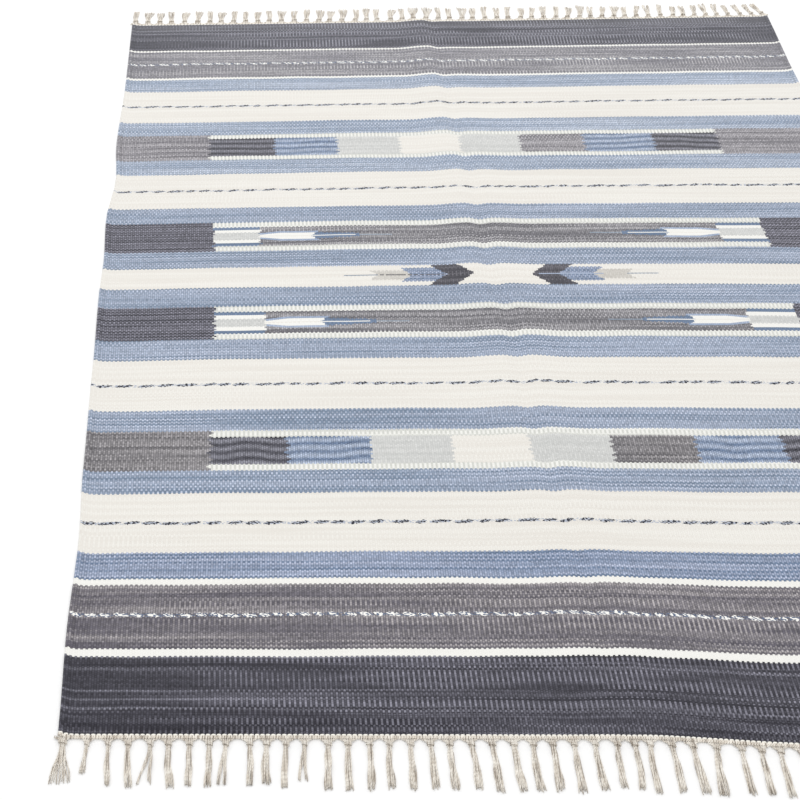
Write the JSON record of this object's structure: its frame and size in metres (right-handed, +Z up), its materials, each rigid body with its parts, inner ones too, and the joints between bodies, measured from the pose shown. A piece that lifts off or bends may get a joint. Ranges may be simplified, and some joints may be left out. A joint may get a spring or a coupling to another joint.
{
  "type": "kilim",
  "caption": "Flat-woven cotton kilim lying flat, banded in charcoal, grey, blue and cream with block and lozenge rows, with a twined heading and knotted tassels at each end",
  "frame": {"origin": "middle of the whole outline, fringes included, on the floor under the rug", "axes": "+X across the rug to the right as the picture shows it, +Y along its length away from the viewer, +Z up"},
  "size_m": [1.7124, 2.6718, 0.01],
  "materials": {
    "woven_field": "weft-faced plain weave of dyed and undyed cotton, matt, in bands of charcoal, grey, blue and cream",
    "fringe": "undyed plied cotton warp, matt, twined into a heading and knotted into tassels"
  },
  "bodies": {
    "root": {"woven_field": "woven_field", "fringe_near": "fringe", "fringe_far": "fringe"}
  },
  "joints": []
}
